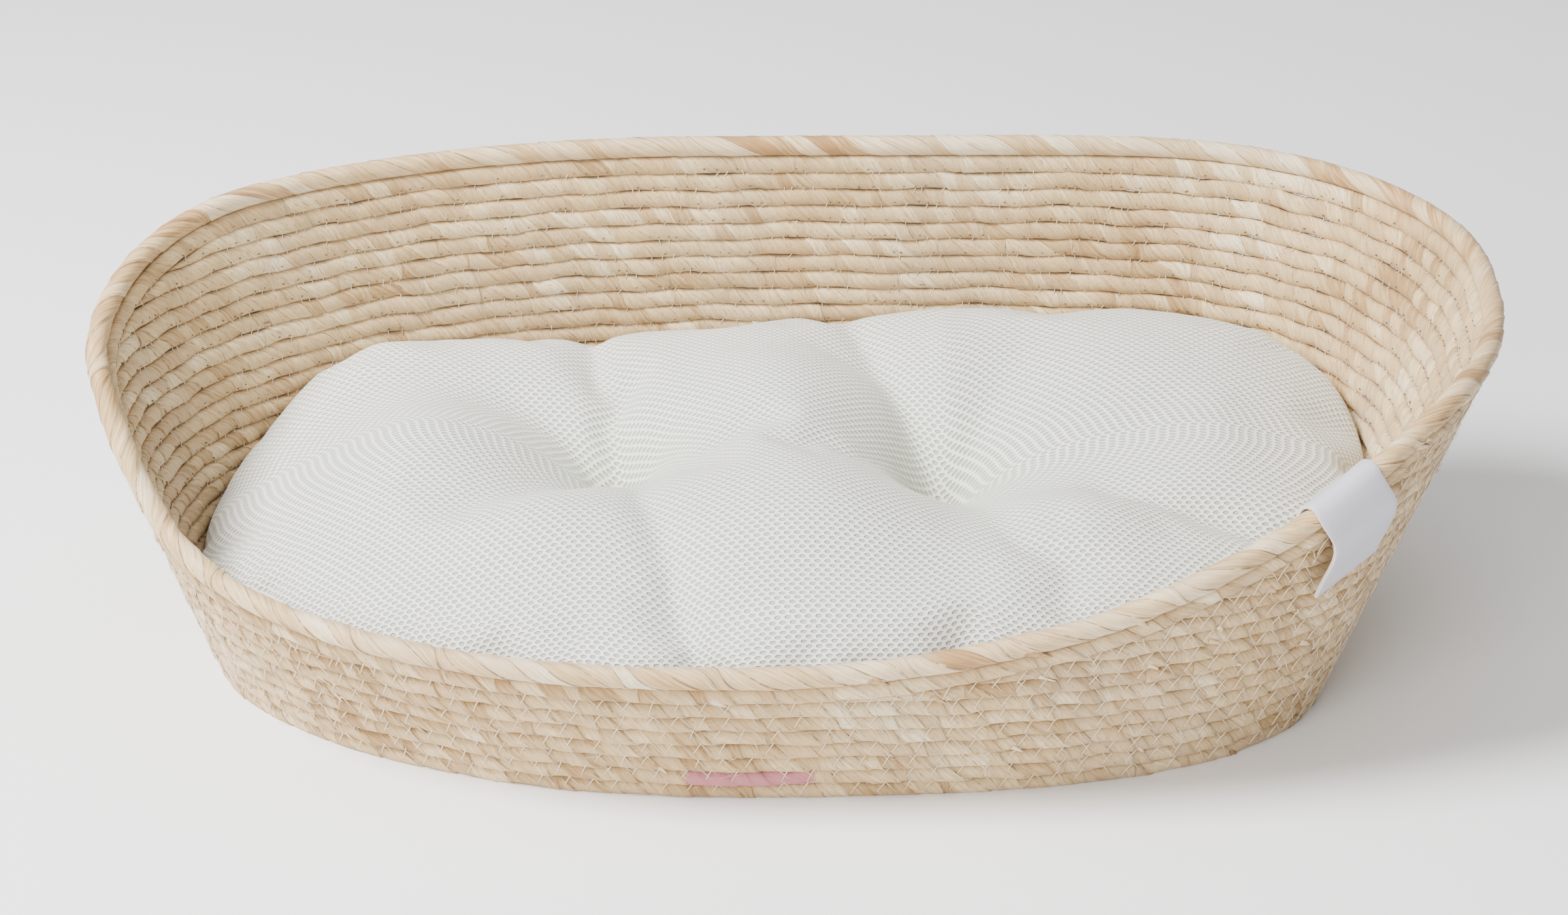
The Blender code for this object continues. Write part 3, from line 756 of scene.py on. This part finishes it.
def cushion_cage():
    """Points, faces and flat fabric coordinates of the stuffed form, top and underside in one."""
    polar, radius, slope = inner_oval(SEAM, CUSHION_ROOM)
    edge_angles, edge_tops = np.array(EDGE_HEIGHTS).T

    def about(x, y):
        """Outline radius, wall slope and edge height in the direction of x, y."""
        angle = np.arctan2(y, x)
        top = np.interp(np.degrees(angle), edge_angles, edge_tops)
        return np.interp(angle, polar, radius), np.interp(angle, polar, slope), top

    xs = np.arange(-0.29, 0.29, GRID)
    ys = np.arange(-0.19, 0.19, GRID)
    gx, gy = np.meshgrid(xs, ys, indexing="ij")
    limit, _, tops = about(gx, gy)
    rho = np.hypot(gx, gy) / limit
    used, quads = {}, []
    for i in range(len(xs) - 1):
        for j in range(len(ys) - 1):
            if rho[i:i + 2, j:j + 2].mean() < INNER - 0.012:
                corners = ((i, j), (i + 1, j), (i + 1, j + 1), (i, j + 1))
                quads.append(tuple(used.setdefault(c, len(used)) for c in corners))
    flat = np.array([(xs[a], ys[b]) for a, b in used])
    ways = {(a, b) for quad in quads for a, b in zip(quad, quad[1:] + quad[:1])}
    border = {a: b for a, b in ways if (b, a) not in ways}
    loop = [min(border)]
    while border[loop[-1]] != loop[0]:
        loop.append(border[loop[-1]])
    around = len(loop)
    edge = flat[loop]
    even = unit(edge) * (about(edge[:, 0], edge[:, 1])[0] * INNER)[:, None]
    for _ in range(4):
        even = (np.roll(even, 1, 0) + 2 * even + np.roll(even, -1, 0)) / 4
    flat[loop] = even
    way = unit(even)
    limit = about(even[:, 0], even[:, 1])[0]

    def fabric_lengths(height):
        """Lengths along the cloth, part way between the level ones and the true ones."""
        z = height(gx, gy, rho, tops)
        u = np.cumsum(np.hypot(np.diff(z, axis=0, prepend=z[:1]), GRID), axis=0)
        v = np.cumsum(np.hypot(np.diff(z, axis=1, prepend=z[:, :1]), GRID), axis=1)
        rows = np.array(list(used))
        u = u[rows[:, 0], rows[:, 1]] - u[len(xs) // 2][rows[:, 1]]
        v = v[rows[:, 0], rows[:, 1]] - v[rows[:, 0], len(ys) // 2]
        return blend(flat, np.stack([u, v], -1), 0.4)

    def surface(xy, share, height, crown):
        _, slant, top = about(xy[:, 0], xy[:, 1])
        round_off = np.sqrt(np.maximum(1 - share**crown, 0))
        z = SEAM + (height(xy[:, 0], xy[:, 1], share, top) - SEAM) * round_off
        bulge = slant * (z - SEAM) * share**2
        return np.column_stack([xy + unit(xy) * bulge[:, None], z])

    points, faces, fabric = [], [], []
    seam = None
    for upper, crown, rings in CROWNS:
        height = top_height if upper else underside
        share = np.hypot(flat[:, 0], flat[:, 1]) / about(flat[:, 0], flat[:, 1])[0]
        first = sum(len(p) for p in points)
        points.append(surface(flat, share, height, crown))
        fabric.append(fabric_lengths(height))
        faces += [tuple(first + k for k in (quad if upper else quad[::-1])) for quad in quads]
        previous = np.array(loop) + first
        last_place, last_cloth = points[-1][loop], fabric[-1][loop]
        for ring in range(1, rings + 1):
            h = math.sqrt(1 - INNER**crown) * math.cos(math.pi / 2 * ring / rings)
            if ring == rings and not upper:
                current = seam
            else:
                reach = (1 - h * h) ** (1 / crown)
                place = surface(way * (limit * reach)[:, None], np.full(around, reach), height, crown)
                current = np.arange(around) + sum(len(p) for p in points)
                last_cloth = last_cloth + way * np.linalg.norm(place - last_place, axis=1)[:, None]
                last_place = place
                points.append(place)
                fabric.append(last_cloth)
            for k in range(around):
                n = (k + 1) % around
                quad = [int(v) for v in (previous[k], current[k], current[n], previous[n])]
                faces.append(tuple(quad if upper else quad[::-1]))
            previous = current
        seam = previous if upper else seam
    return np.concatenate(points) + MIDDLE, faces, np.concatenate(fabric), seam


CLOTH = {
    "quality": 6, "mass": 0.25, "tension_stiffness": 25, "compression_stiffness": 25,
    "shear_stiffness": 8, "bending_stiffness": 1.5, "use_pressure": True,
    "uniform_pressure_force": 4.0, "shrink_min": -0.035, "vertex_group_mass": "held",
}
CLOTH_FRAMES = 20
CLOTH_REACH = 0.009  # how far a point may move


def inflate(obj):
    """Lets the fabric fill out between its tufts, each point moving only so far."""
    start = vertex_places(obj)
    local = start - MIDDLE
    hold = local[:, 2] < FLOOR + 0.001
    for tx, ty in TUFTS:
        hold = hold | (np.hypot(local[:, 0] - tx, local[:, 1] - ty) < 0.009)
    group = obj.vertex_groups.new(name="held")
    group.add(np.nonzero(hold)[0].tolist(), 1.0, "REPLACE")
    cloth = obj.modifiers.new("Cloth", "CLOTH")
    for name, value in CLOTH.items():
        setattr(cloth.settings, name, value)
    cloth.settings.effector_weights.gravity = 0.0
    cloth.collision_settings.use_collision = False
    cloth.point_cache.frame_start = 1
    cloth.point_cache.frame_end = CLOTH_FRAMES
    scene = bpy.context.scene
    for number in range(1, CLOTH_FRAMES + 1):
        scene.frame_set(number)
    found = obj.evaluated_get(bpy.context.evaluated_depsgraph_get()).to_mesh()
    end = np.empty(len(start) * 3)
    found.vertices.foreach_get("co", end)
    obj.modifiers.remove(cloth)
    scene.frame_set(1)
    move = end.reshape(-1, 3) - start
    far = np.linalg.norm(move, axis=1, keepdims=True)
    move *= np.minimum(1.0, CLOTH_REACH / np.maximum(far, 1e-9))
    set_places(obj, start + move)


def keep_inside(obj):
    """Keeps the cushion clear of the wall's ropes and of the base."""
    co = vertex_places(obj)
    band_height = 0.004
    for _ in range(2):
        for low in np.arange(0.004, 0.135, band_height):
            band = (co[:, 2] >= low) & (co[:, 2] < low + band_height)
            polar, radius, _ = inner_oval(low + band_height / 2, WALL_ROOM)
            rest = co[band, :2] - MIDDLE[:2]
            limit = np.interp(np.arctan2(rest[:, 1], rest[:, 0]), polar, radius)
            far = np.maximum(np.linalg.norm(rest, axis=1), 1e-9)
            co[band, :2] = MIDDLE[:2] + rest * np.minimum(1.0, limit / far)[:, None]
    co[:, 2] = np.maximum(co[:, 2], FLOOR)
    set_places(obj, co)


def cushion_piece(look):
    points, faces, fabric, seam = cushion_cage()
    obj = new_mesh("stuffed_cushion", points, faces, look)
    layer = obj.data.uv_layers.new(name="weave")
    corners = np.empty(len(obj.data.loops), int)
    obj.data.loops.foreach_get("vertex_index", corners)
    layer.data.foreach_set("uv", fabric[corners].astype(np.float32).ravel())
    # Painted shade: how deep the tufts and creases draw the top in, for a darker, greener tint there
    pit = obj.data.attributes.new("pit", "FLOAT", "POINT")
    local = points - MIDDLE
    depth = np.clip(drawn_in(local[:, 0], local[:, 1]) / 0.04, 0, 1)
    pit.data.foreach_set("value", depth.astype(np.float32))
    inflate(obj)
    keep_inside(obj)
    finer = obj.modifiers.new("Subdivision", "SUBSURF")
    finer.levels = finer.render_levels = 1
    settle(obj, "cushion", "mesh_fabric", "cushion_top_panel", "cushion_bottom_panel", "cushion_filling")
    return obj, seam


def seam_piping(obj, seam, look):
    """The narrow sewn edge where the top and the bottom panel meet."""
    curve = bpy.data.curves.new("cushion_seam", "CURVE")
    curve.dimensions = "3D"
    curve.bevel_depth = 0.0013
    curve.bevel_resolution = 2
    spline = curve.splines.new("POLY")
    spline.points.add(len(seam) - 1)
    for target, k in zip(spline.points, seam):
        target.co = (*obj.data.vertices[int(k)].co, 1.0)
    spline.use_cyclic_u = True
    curve.materials.append(look)
    settle(new_object("cushion_seam", curve), "cushion", "mesh_fabric")


def tuft_knots(cushion, look):
    """A short bar of thread in each pit, above and below."""
    found = cushion.evaluated_get(bpy.context.evaluated_depsgraph_get())
    for name, (tx, ty) in zip(("left", "right"), TUFTS):
        x, y = tx + MIDDLE[0], ty + MIDDLE[1]
        bars = []
        for way in (-1.0, 1.0):
            _, place, _, _ = found.ray_cast(Vector((x, y, -way)), Vector((0, 0, way)))
            z = place.z - way * 0.0004
            for turn in (0.4, 2.0):
                dx, dy = 0.0032 * math.cos(turn), 0.0032 * math.sin(turn)
                bend = (x, y, z - way * 0.0005)
                bars.append(((x - dx, y - dy, z), bend, (x + dx, y + dy, z), (0, 0, -way)))
        knot = strands(f"tuft_knot_{name}", *np.array(bars, float).swapaxes(0, 1), 0.0006, look, 6)
        settle(knot, "cushion", "tuft_thread", f"cushion_tie_{name}")


# -------- materials

class Nodes:
    """A short way to write a node material."""

    def __init__(self, name, roughness=0.7, **sockets):
        self.material = bpy.data.materials.new(name)
        self.material.use_nodes = True
        self.tree = self.material.node_tree
        self.shader = self.tree.nodes["Principled BSDF"]
        self.shader.inputs["Roughness"].default_value = roughness
        for socket, value in sockets.items():
            self.shader.inputs[socket.replace("_", " ")].default_value = value

    def node(self, kind, settings=None, **inputs):
        made = self.tree.nodes.new("ShaderNode" + kind)
        for key, value in (settings or {}).items():
            setattr(made, key, value)
        for key, value in inputs.items():
            self.put(made.inputs[key.replace("_", " ")], value)
        return made

    def put(self, socket, value):
        if isinstance(value, bpy.types.NodeSocket):
            self.tree.links.new(value, socket)
        else:
            socket.default_value = value

    def math(self, operation, a, b=0.0, c=0.0, clamp=False):
        made = self.tree.nodes.new("ShaderNodeMath")
        made.operation = operation
        made.use_clamp = clamp
        for socket, value in zip(made.inputs, (a, b, c)):
            self.put(socket, value)
        return made.outputs[0]

    def mix(self, share, a, b, kind="MIX"):
        made = self.tree.nodes.new("ShaderNodeMix")
        made.data_type = "RGBA"
        made.blend_type = kind
        self.put(made.inputs[0], share)
        for socket, value in ((made.inputs[6], a), (made.inputs[7], b)):
            self.put(socket, (*value, 1.0) if isinstance(value, tuple) and len(value) == 3 else value)
        return made.outputs[2]

    def ramp(self, value, stops):
        made = self.tree.nodes.new("ShaderNodeValToRGB")
        self.put(made.inputs[0], value)
        ramp = made.color_ramp
        while len(ramp.elements) < len(stops):
            ramp.elements.new(0.5)
        for element, (place, colour) in zip(ramp.elements, stops):
            element.position = place
            element.color = (*colour, 1.0)
        return made.outputs[0]

    def attribute(self, name):
        return self.node("Attribute", {"attribute_name": name}).outputs["Fac"]

    def uv(self, name):
        return self.node("UVMap", {"uv_map": name}).outputs[0]

    def scaled(self, uv, share):
        """Coordinates with the second one scaled."""
        return self.node("Mapping", None, Vector=uv, Scale=(1.0, share, 1.0)).outputs[0]

    def noise(self, vector, scale, detail=3.0):
        return self.node("TexNoise", None, Vector=vector, Scale=scale, Detail=detail).outputs["Fac"]

    def place(self):
        return self.node("NewGeometry").outputs["Position"]

    def around(self, value, gain):
        """How far a value is above or below one half, times a gain."""
        return self.math("MULTIPLY", self.math("SUBTRACT", value, 0.5), gain)

    def past(self, value, start, gain):
        """How far a value is past a start, times a gain, held between 0 and 1."""
        return self.math("MULTIPLY", self.math("SUBTRACT", value, start), gain, clamp=True)

    def stain(self, base, share, strength, colour):
        """Lays a colour over another where share says."""
        return self.mix(self.math("MULTIPLY", share, strength), base, colour)

    def bump(self, height, strength, distance):
        made = self.node("Bump", None, Height=height, Strength=strength, Distance=distance)
        self.tree.links.new(made.outputs[0], self.shader.inputs["Normal"])

    def colour(self, value):
        self.tree.links.new(value, self.shader.inputs["Base Color"])
        return self.material


HUSK_TONES = (
    (0.0, (0.35, 0.20, 0.07)),
    (0.2, (0.47, 0.295, 0.12)),
    (0.4, (0.555, 0.385, 0.195)),
    (0.6, (0.63, 0.44, 0.215)),
    (0.8, (0.73, 0.55, 0.30)),
    (1.0, (0.85, 0.715, 0.47)),
)
RIM_TONES = (
    (0.0, (0.38, 0.20, 0.065)),
    (0.25, (0.54, 0.335, 0.14)),
    (0.5, (0.66, 0.47, 0.245)),
    (0.75, (0.74, 0.57, 0.34)),
    (1.0, (0.86, 0.73, 0.51)),
)
END_TONES = ((0.0, (0.36, 0.19, 0.07)), (0.35, (0.58, 0.36, 0.17)), (1.0, (0.84, 0.68, 0.46)))
ROUND = 0.026  # the way round a rope


def husk_material(name, tones, roughness, spread, streak, fuzz_bump, groove_shade, torn_share, torn_from,
                  fleck_share):
    """Dried husk: strips of differing tone, fibres along each strip, browner edges and patches.

    spread and streak say how much the tone differs from strip to strip and along one strip, and the
    grooves where the rows touch get painted shade.
    """
    n = Nodes(name, roughness, Specular_IOR_Level=0.35, Sheen_Weight=0.12, Sheen_Roughness=0.6)
    place = n.place()
    uv = n.uv("husk")
    fine = n.noise(n.scaled(uv, 0.10 * ROUND), 2600.0, 2.0)
    coarse = n.noise(n.scaled(uv, 0.16 * ROUND), 620.0)
    strip = n.math("ADD", 0.51 - spread / 2, n.math("MULTIPLY", n.attribute("tone"), spread))
    tone = n.math("ADD", strip, n.around(n.noise(place, 16.0, 2.0), 0.9))
    colour = n.ramp(n.math("ADD", tone, n.around(coarse, streak), clamp=True), tones)
    colour = n.stain(colour, n.past(n.noise(place, 9.0, 2.0), 0.54, 3.2), 0.40, (0.47, 0.41, 0.33))
    colour = n.stain(colour, n.past(n.noise(place, 31.0, 2.0), 0.57, 5.0), 0.45, (0.60, 0.35, 0.15))
    colour = n.stain(colour, n.past(fine, 0.48, -3.0), 0.6, (0.36, 0.22, 0.11))
    flecks = n.past(n.noise(n.scaled(uv, 0.3 * ROUND), 800.0), 0.60, 9.0)
    colour = n.stain(colour, flecks, fleck_share, (0.27, 0.16, 0.075))
    ragged = n.past(n.noise(place, 260.0, 2.0), torn_from, 5.0)
    torn = n.math("MULTIPLY", n.attribute("edge"), ragged)
    colour = n.stain(colour, torn, torn_share, (0.22, 0.12, 0.05))
    colour = n.stain(colour, n.attribute("dye"), 0.85, (0.49, 0.15, 0.21))
    # Painted shade: darker brown at the top and bottom of each rope, in the grooves where the rows touch
    round_share = n.node("SeparateXYZ", None, Vector=uv).outputs[1]
    side = n.math("ABSOLUTE", n.math("COSINE", n.math("MULTIPLY", round_share, math.tau)))
    narrow = n.math("ADD", 6.0, n.math("MULTIPLY", n.noise(place, 480.0, 2.0), 14.0))
    colour = n.stain(colour, n.math("POWER", side, narrow), groove_shade, (0.17, 0.095, 0.04))
    fuzz = n.math("MULTIPLY", n.noise(place, 900.0, 4.0), fuzz_bump)
    height = n.math("ADD", n.math("MULTIPLY", fine, 0.6), fuzz)
    n.bump(n.math("ADD", height, coarse), 0.6, 0.0007)
    return n.colour(colour)


def plain_fibre(name, colour, roughness, spread=0.25):
    n = Nodes(name, roughness, Sheen_Weight=0.1)
    grain = n.noise(n.place(), 700.0)
    dark = tuple(c * (1 - spread) for c in colour)
    n.bump(grain, 0.3, 0.0003)
    return n.colour(n.mix(grain, dark, colour))


def end_material():
    n = Nodes("husk_end", 0.55)
    place = n.place()
    streak = n.math("SUBTRACT", n.noise(place, 420.0, 2.0), 0.5)
    n.bump(n.noise(place, 1500.0, 2.0), 0.3, 0.0003)
    return n.colour(n.ramp(n.math("ADD", n.attribute("tone"), streak, clamp=True), END_TONES))


MESH_PITCH, MESH_ROW = 0.0040, 0.0021
HOLE = (0.00125, 0.00074)  # half width and half height of a hole in the mesh


def mesh_fabric():
    """Air mesh: staggered rows of small holes between rounded threads."""
    n = Nodes("air_mesh", 0.62, Sheen_Weight=0.3, Sheen_Roughness=0.4, Subsurface_Weight=0.04,
              Subsurface_Scale=0.004)
    weave = n.uv("weave")
    uv = n.node("SeparateXYZ", None, Vector=weave)
    v = n.math("DIVIDE", uv.outputs[1], MESH_ROW)
    odd = n.math("MULTIPLY", n.math("FLOORED_MODULO", n.math("FLOOR", v), 2.0), 0.5)
    u = n.math("ADD", n.math("DIVIDE", uv.outputs[0], MESH_PITCH), odd)
    squares = [
        n.math("POWER", n.around(n.math("FRACT", along), step / half), 2.0)
        for along, step, half in ((u, MESH_PITCH, HOLE[0]), (v, MESH_ROW, HOLE[1]))
    ]
    far = n.math("SQRT", n.math("ADD", *squares))
    hole = n.math("SUBTRACT", 1.0, n.past(far, 0.72, 2.2), clamp=True)
    thread = n.noise(n.scaled(weave, 2.0), 1900.0, 2.0)
    cloth = n.mix(thread, (0.71, 0.705, 0.65), (0.94, 0.935, 0.87))
    cloth = n.stain(cloth, n.noise(n.place(), 14.0, 2.0), 0.12, (0.80, 0.81, 0.74))
    # Painted shade: darker and greener in the tuft pits and creases
    cloth = n.stain(cloth, n.attribute("pit"), 0.8, (0.76, 0.77, 0.60))
    n.bump(n.math("SUBTRACT", n.math("MULTIPLY", thread, 0.25), hole), 0.8, 0.0010)
    return n.colour(n.stain(cloth, hole, 0.85, (0.37, 0.39, 0.33)))


def leather(name, colour, roughness):
    n = Nodes(name, roughness, Coat_Weight=0.08)
    place = n.place()
    cells = n.node("TexVoronoi", {"feature": "DISTANCE_TO_EDGE"}, Vector=place, Scale=1500.0)
    n.bump(n.math("MULTIPLY", cells.outputs["Distance"], 2.0, clamp=True), 0.12, 0.0003)
    dark = tuple(c * 0.94 for c in colour)
    return n.colour(n.mix(n.noise(place, 60.0), dark, colour))


# -------- stage

LIGHTS = (
    # name, place, size, power in watts
    ("key", (-1.25, -0.4, 1.75), 0.9, 118.0),
    ("front", (-0.9, -1.9, 1.0), 1.4, 42.0),
    ("top", (0.2, 0.3, 2.1), 1.6, 12.0),
)


def stage():
    bpy.ops.mesh.primitive_plane_add(size=30.0)
    floor = bpy.context.object
    floor.name = "floor"
    paper = Nodes("floor_paper", 0.9)
    paper.colour(paper.mix(paper.noise(paper.place(), 3.0), (0.93, 0.93, 0.93), (0.94, 0.94, 0.94)))
    floor.data.materials.append(paper.material)
    world = bpy.data.worlds.new("studio")
    world.use_nodes = True
    background = world.node_tree.nodes["Background"]
    background.inputs["Color"].default_value = (1.0, 1.0, 1.0, 1.0)
    background.inputs["Strength"].default_value = 0.48
    bpy.context.scene.world = world
    for name, place, size, power in LIGHTS:
        light = bpy.data.lights.new(name, "AREA")
        light.shape = "DISK"
        light.size = size
        light.energy = power
        lamp = new_object(name, light)
        lamp.location = place
        lamp.rotation_euler = (Vector((0, 0, 0.08)) - Vector(place)).to_track_quat("-Z", "Y").to_euler()


def camera():
    data = bpy.data.cameras.new("camera")
    data.sensor_width = SENSOR
    data.lens = LENS
    data.clip_end = 100.0
    level = math.cos(AIM_ELEVATION)
    back = Vector((-math.sin(AIM_TURN) * level, -math.cos(AIM_TURN) * level, math.sin(AIM_ELEVATION)))
    seen = new_object("camera", data)
    seen.location = AIM + back * AIM_DISTANCE
    seen.rotation_euler = (-back).to_track_quat("-Z", "Y").to_euler()
    bpy.context.scene.camera = seen


def main():
    rng = np.random.default_rng(SEED)
    camera()
    stage()
    husk = husk_material("husk", HUSK_TONES, roughness=0.62, spread=0.75, streak=1.3, fuzz_bump=0.8,
                         groove_shade=0.8, torn_share=0.75, torn_from=0.40, fleck_share=0.7)
    rim_husk = husk_material("rim_husk", RIM_TONES, roughness=0.42, spread=1.1, streak=1.6,
                             fuzz_bump=0.15, groove_shade=0.0, torn_share=0.85, torn_from=0.33,
                             fleck_share=0.35)
    thread = plain_fibre("sewing_thread", (0.83, 0.70, 0.53), 0.35, 0.1)
    faint = plain_fibre("faint_thread", (0.80, 0.69, 0.53), 0.4, 0.15)
    hair = plain_fibre("husk_hair", (0.84, 0.70, 0.52), 0.6)
    dark = plain_fibre("needle_prick", (0.17, 0.11, 0.06), 0.8)
    white = leather("white_leather", (0.53, 0.52, 0.565), 0.42)
    cut = leather("leather_edge", (0.80, 0.66, 0.62), 0.6)
    fabric = mesh_fabric()
    tuft = plain_fibre("tuft_thread", (0.78, 0.80, 0.70), 0.5)
    spans = wall_ropes(husk, rng)
    edge_ropes(husk, rim_husk, rng)
    base_rope(husk, rng)
    lines = seam_lines(spans)
    sewing(lines, thread, faint, dark, rng)
    fuzz(hair, rng)
    loose_ends(end_material(), rng)
    tag_piece(white, cut)
    cushion, seam = cushion_piece(fabric)
    seam_piping(cushion, seam, tuft)
    tuft_knots(cushion, tuft)


main()
